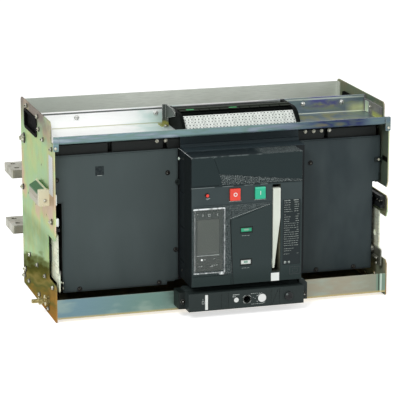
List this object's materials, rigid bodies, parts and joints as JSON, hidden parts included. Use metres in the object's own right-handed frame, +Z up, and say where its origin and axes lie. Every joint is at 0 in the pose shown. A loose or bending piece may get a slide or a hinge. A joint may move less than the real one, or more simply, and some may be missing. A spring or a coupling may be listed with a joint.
{
  "type": "withdrawable air circuit breaker",
  "caption": "Wide low-voltage air circuit breaker on rails in a plated steel cradle, with off-centre front cover, trip unit, charging handle, racking drive and rear terminal pads.",
  "frame": {"origin": "on the floor under the middle of the whole device, terminals and earth stud included", "axes": "+X right seen from the front, +Y back towards the terminals, +Z up"},
  "size_m": [0.838, 0.567, 0.455],
  "materials": {
    "zinc_plate": "yellow-green passivated zinc",
    "zinc_dark": "olive passivated zinc",
    "grey_steel": "satin zinc",
    "blue_zinc": "blue passivated zinc",
    "pan_steel": "blue-grey zinc",
    "base_moulding": "moulded thermoset",
    "tinned_copper": "tin plate",
    "guide_plastic": "moulded nylon",
    "black_plastic": "fine texture",
    "white_plastic": "moulded",
    "cream_plastic": "moulded",
    "green_plastic": "moulded",
    "yellow_zinc": "yellow passivated zinc",
    "strip_foil": "bare foil",
    "rail_zinc": "passivated zinc",
    "panel_grey": "fine texture",
    "cover_grey": "satin moulding",
    "housing_black": "satin moulding",
    "chute_brown": "moulded thermoset",
    "cluster_copper": "silvered copper",
    "roller_steel": "turned",
    "display_glass": "unlit display",
    "green_flag": "printed flag",
    "clear_lid": "clear polycarbonate",
    "red_key": "moulded",
    "green_key": "moulded",
    "handle_pale": "moulded"
  },
  "bodies": {
    "cradle": {"left_side_plate": "zinc_plate", "right_side_plate": "zinc_dark", "rear_panel": "grey_steel", "top_tray": "blue_zinc", "bottom_pan": "pan_steel", "rear_base": "base_moulding", "upper_terminals": "tinned_copper", "lower_terminals": "tinned_copper", "left_guide": "guide_plastic", "right_guide": "guide_plastic", "lifting_pockets": "black_plastic", "signal_block": "black_plastic", "signal_strips": "white_plastic", "signal_bracket": "rail_zinc", "racking_housing": "black_plastic", "racking_dials": "white_plastic", "padlock_bar": "white_plastic", "aux_connector": "green_plastic", "aux_connector_ends": "cream_plastic", "earth_stud": "yellow_zinc", "marking_strip": "strip_foil"},
    "left_slide": {"left_rail": "rail_zinc"},
    "right_slide": {"right_rail": "rail_zinc"},
    "breaker": {"pole_housing": "housing_black", "left_front_panel": "panel_grey", "right_front_panel": "panel_grey", "mechanism_housing": "housing_black", "upper_housing": "housing_black", "arc_chutes": "chute_brown", "contact_clusters": "cluster_copper", "support_rollers": "roller_steel", "front_cover": "cover_grey", "trip_unit": "housing_black", "trip_display": "display_glass", "state_window": "green_flag", "spring_window": "white_plastic", "slot_tag": "white_plastic"},
    "lid": {"trip_lid": "clear_lid"},
    "off_key": {"off_button": "red_key"},
    "on_key": {"on_button": "green_key"},
    "reset_key": {"reset_button": "red_key"},
    "handle": {"charging_handle": "handle_pale"}
  },
  "joints": [
    {"name": "breaker_drawout", "type": "slide", "parent": "cradle", "child": "breaker", "axis": [0, -1, 0], "range_m": [0, 0.22]},
    {"name": "left_rail_slide", "type": "slide", "parent": "cradle", "child": "left_slide", "axis": [0, -1, 0], "range_m": [0, 0.195]},
    {"name": "right_rail_slide", "type": "slide", "parent": "cradle", "child": "right_slide", "axis": [0, -1, 0], "range_m": [0, 0.195]},
    {"name": "lid_hinge", "type": "hinge", "parent": "breaker", "child": "lid", "pos_m": [-0.082, -0.28, 0.183], "axis": [0, 0, -1], "range_deg": [0, 120]},
    {"name": "off_press", "type": "slide", "parent": "breaker", "child": "off_key", "axis": [0, 1, 0], "range_m": [0, 0.004], "stiffness_N_per_m": 1500},
    {"name": "on_press", "type": "slide", "parent": "breaker", "child": "on_key", "axis": [0, 1, 0], "range_m": [0, 0.004], "stiffness_N_per_m": 1500},
    {"name": "reset_press", "type": "slide", "parent": "breaker", "child": "reset_key", "axis": [0, 1, 0], "range_m": [0, 0.004], "stiffness_N_per_m": 800},
    {"name": "handle_hinge", "type": "hinge", "parent": "breaker", "child": "handle", "pos_m": [0.113, -0.2595, 0.122], "axis": [1, 0, 0], "range_deg": [0, 80]}
  ]
}
